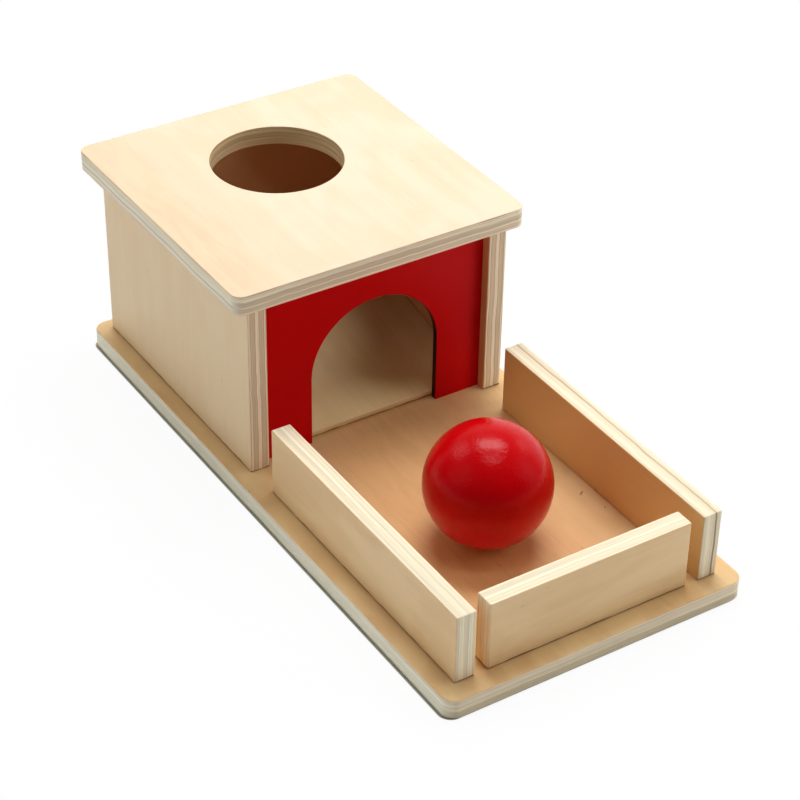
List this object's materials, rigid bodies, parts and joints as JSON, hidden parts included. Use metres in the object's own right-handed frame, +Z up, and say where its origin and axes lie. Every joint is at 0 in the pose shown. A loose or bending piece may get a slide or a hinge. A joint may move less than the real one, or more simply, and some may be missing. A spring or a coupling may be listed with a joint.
{
  "type": "object permanence box",
  "caption": "Wooden toy house with a round hole in its lid and a ramp inside that rolls a posted ball out through an arched door into a railed tray.",
  "frame": {"origin": "on the base's underside, in the middle of the object's length and width", "axes": "+X across the tray to its right as seen from the tray's front end, +Y along the base from the tray to the house, +Z up"},
  "size_m": [0.142, 0.303, 0.1005],
  "materials": {
    "birch_plywood": "satin",
    "red_lacquered_plywood": "satin",
    "pine_strip": "matte",
    "zinc_plated_steel": "satin",
    "beech_dowel": "matte",
    "red_lacquered_beech": "gloss"
  },
  "bodies": {
    "box": {"base_board": "birch_plywood", "left_wall": "birch_plywood", "right_wall": "birch_plywood", "back_wall": "birch_plywood", "front_panel": "red_lacquered_plywood", "lid": "birch_plywood", "ramp": "birch_plywood", "ramp_batten": "pine_strip", "left_rail": "birch_plywood", "right_rail": "birch_plywood", "front_rail": "birch_plywood", "base_screws": "zinc_plated_steel", "lid_dowels": "beech_dowel"},
    "ball": {"ball": "red_lacquered_beech"}
  },
  "joints": [
    {"name": "ball_lift", "type": "slide", "parent": "box", "child": "ball", "axis": [0, 0, 1], "range_m": [0, 0.12]}
  ]
}
